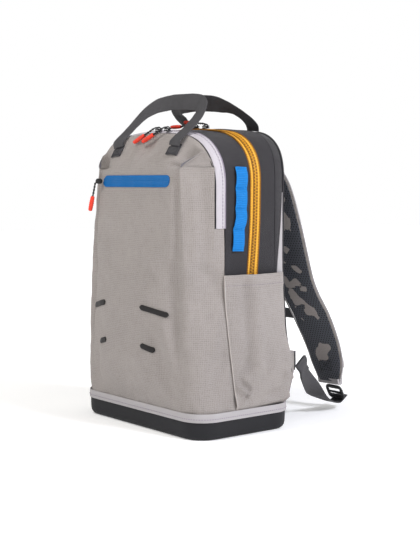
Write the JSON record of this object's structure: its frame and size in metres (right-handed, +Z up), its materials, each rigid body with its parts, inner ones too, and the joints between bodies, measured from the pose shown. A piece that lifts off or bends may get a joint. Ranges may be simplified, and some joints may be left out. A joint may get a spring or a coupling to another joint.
{
  "type": "tackle backpack",
  "caption": "Soft tackle backpack on a moulded base tray, with a clamshell main zip, hooded front compartment, side pockets, carry handles and padded shoulder straps.",
  "frame": {"origin": "middle of the base tray's flat underside", "axes": "+Z up along the bag's height, +X to the wearer's left, +Y towards the wearer's back"},
  "size_m": [0.3208, 0.3746, 0.4925],
  "materials": {
    "tray_foam": "matt moulded foam",
    "pale_fabric": "pale grey woven tape",
    "shell_fabric": "warm grey coated ripstop",
    "gusset_fabric": "charcoal woven",
    "spacer_mesh": "black spacer mesh",
    "yellow_zip": "coated zip tape",
    "blue_webbing": "blue webbing",
    "lining": "grey lining",
    "black_plastic": "satin black",
    "red_pull": "red moulded grip",
    "webbing": "dark grey webbing",
    "black_webbing": "black webbing"
  },
  "bodies": {
    "pack": {"base_tray": "tray_foam", "base_binding": "pale_fabric", "front_shell_lower": "shell_fabric", "lower_gusset_left": "gusset_fabric", "lower_gusset_right": "gusset_fabric", "rear_gusset": "gusset_fabric", "back_edge_band": "pale_fabric", "main_zip_tape_rear": "yellow_zip", "back_panel": "gusset_fabric", "divider_lower": "lining", "back_pad_left": "spacer_mesh", "back_pad_right": "spacer_mesh", "lumbar_pad": "spacer_mesh", "side_pocket_left": "shell_fabric", "side_pocket_right": "shell_fabric", "lash_tab_upper_left": "black_plastic", "lash_tab_upper_right": "black_plastic", "lash_tab_lower_left": "black_plastic", "lash_tab_lower_right": "black_plastic", "lower_wing_left": "shell_fabric", "lower_wing_right": "shell_fabric", "rear_handle_tab_left": "webbing", "rear_handle_tab_right": "webbing"},
    "front_module": {"front_fold_panel": "shell_fabric", "front_shell_middle": "shell_fabric", "front_gusset": "gusset_fabric", "main_zip_tape_front": "yellow_zip", "zip_flap": "pale_fabric", "divider_upper": "lining", "hood_fold_panel": "shell_fabric", "daisy_chain_left": "blue_webbing", "daisy_chain_right": "blue_webbing"},
    "hood": {"hood": "shell_fabric", "pocket_zip_tape": "blue_webbing", "zip_pocket_liner": "lining", "front_handle_tab_left": "webbing", "front_handle_tab_right": "webbing"},
    "front_handle": {"front_handle": "webbing"},
    "rear_handle": {"rear_handle": "webbing"},
    "main_zip_left_slider": {"main_zip_left_slider": "black_plastic"},
    "main_zip_left_pull": {"main_zip_left_pull": "red_pull"},
    "main_zip_right_slider": {"main_zip_right_slider": "black_plastic"},
    "main_zip_right_pull": {"main_zip_right_pull": "red_pull"},
    "front_zip_left_slider": {"front_zip_left_slider": "black_plastic"},
    "front_zip_left_pull": {"front_zip_left_pull": "red_pull"},
    "front_zip_right_slider": {"front_zip_right_slider": "black_plastic"},
    "front_zip_right_pull": {"front_zip_right_pull": "red_pull"},
    "pocket_zip_slider": {"pocket_zip_slider": "black_plastic"},
    "pocket_zip_pull": {"pocket_zip_pull": "red_pull"},
    "strap_left": {"strap_pad_left": "shell_fabric", "strap_mesh_left": "spacer_mesh", "lower_webbing_left": "webbing"},
    "ladder_lock_left": {"ladder_lock_left": "black_plastic"},
    "sternum_left": {"sternum_strap_left": "black_webbing"},
    "strap_right": {"strap_pad_right": "shell_fabric", "strap_mesh_right": "spacer_mesh", "lower_webbing_right": "webbing"},
    "ladder_lock_right": {"ladder_lock_right": "black_plastic"},
    "sternum_right": {"sternum_strap_right": "black_webbing"}
  },
  "joints": [
    {"name": "main_opening", "type": "hinge", "parent": "pack", "child": "front_module", "pos_m": [0, -0.043, 0.227], "axis": [1, 0, 0], "range_deg": [0, 35], "deforming": ["front_fold_panel"]},
    {"name": "hood_opening", "type": "hinge", "parent": "front_module", "child": "hood", "pos_m": [0, -0.057, 0.296], "axis": [1, 0, 0], "range_deg": [0, 28], "deforming": ["hood_fold_panel"]},
    {"name": "front_handle_swing", "type": "hinge", "parent": "hood", "child": "front_handle", "pos_m": [0, -0.07157, 0.41283], "axis": [1, 0, 0], "range_deg": [0, 95]},
    {"name": "rear_handle_swing", "type": "hinge", "parent": "pack", "child": "rear_handle", "pos_m": [0, 0.0748, 0.4365], "axis": [-1, 0, 0], "range_deg": [0, 120]},
    {"name": "main_zip_left_slide", "type": "slide", "parent": "pack", "child": "main_zip_left_slider", "axis": [1, 0, 0], "range_m": [0, 0.022]},
    {"name": "main_zip_left_pull_hinge", "type": "hinge", "parent": "main_zip_left_slider", "child": "main_zip_left_pull", "pos_m": [0.029, 0.0135, 0.4472], "axis": [0, 1, 0], "range_deg": [0, 120]},
    {"name": "main_zip_right_slide", "type": "slide", "parent": "pack", "child": "main_zip_right_slider", "axis": [-1, 0, 0], "range_m": [0, 0.04]},
    {"name": "main_zip_right_pull_hinge", "type": "hinge", "parent": "main_zip_right_slider", "child": "main_zip_right_pull", "pos_m": [0.004, 0.0065, 0.4445], "axis": [0, 1, 0], "range_deg": [0, 120]},
    {"name": "front_zip_left_slide", "type": "slide", "parent": "hood", "child": "front_zip_left_slider", "axis": [1, 0, 0], "range_m": [0, 0.02]},
    {"name": "front_zip_left_pull_hinge", "type": "hinge", "parent": "front_zip_left_slider", "child": "front_zip_left_pull", "pos_m": [0.032, -0.063, 0.439], "axis": [-0.4212, 0.4722, 0.7743], "range_deg": [0, 80]},
    {"name": "front_zip_right_slide", "type": "slide", "parent": "hood", "child": "front_zip_right_slider", "axis": [-1, 0, 0], "range_m": [0, 0.016]},
    {"name": "front_zip_right_pull_hinge", "type": "hinge", "parent": "front_zip_right_slider", "child": "front_zip_right_pull", "pos_m": [0.01, -0.063, 0.439], "axis": [-0.4212, 0.4722, 0.7743], "range_deg": [0, 80]},
    {"name": "pocket_zip_slide", "type": "slide", "parent": "hood", "child": "pocket_zip_slider", "axis": [1, 0, 0], "range_m": [0, 0.15]},
    {"name": "pocket_zip_pull_hinge", "type": "hinge", "parent": "pocket_zip_slider", "child": "pocket_zip_pull", "pos_m": [-0.092, -0.1, 0.359], "axis": [0, 1, 0], "range_deg": [-40, 60]},
    {"name": "strap_left_swing", "type": "hinge", "parent": "pack", "child": "strap_left", "pos_m": [0.107, 0.0745, 0.399], "axis": [0.0405, 0.1572, -0.9867], "range_deg": [0, 30]},
    {"name": "ladder_lock_left_tilt", "type": "hinge", "parent": "strap_left", "child": "ladder_lock_left", "pos_m": [0.081, 0.234, 0.036], "axis": [1, 0, 0], "range_deg": [0, 30]},
    {"name": "sternum_left_slide", "type": "slide", "parent": "strap_left", "child": "sternum_left", "axis": [0, 0.5189, -0.8548], "range_m": [-0.012, 0.012]},
    {"name": "strap_right_swing", "type": "hinge", "parent": "pack", "child": "strap_right", "pos_m": [-0.107, 0.0745, 0.399], "axis": [0.0405, -0.1572, 0.9867], "range_deg": [0, 30]},
    {"name": "ladder_lock_right_tilt", "type": "hinge", "parent": "strap_right", "child": "ladder_lock_right", "pos_m": [-0.081, 0.234, 0.036], "axis": [1, 0, 0], "range_deg": [0, 30]},
    {"name": "sternum_right_slide", "type": "slide", "parent": "strap_right", "child": "sternum_right", "axis": [0, 0.5189, -0.8548], "range_m": [-0.012, 0.012]}
  ],
  "couplings": [
    {"joint": "sternum_right_slide", "follows": "sternum_left_slide", "ratio": 1}
  ]
}
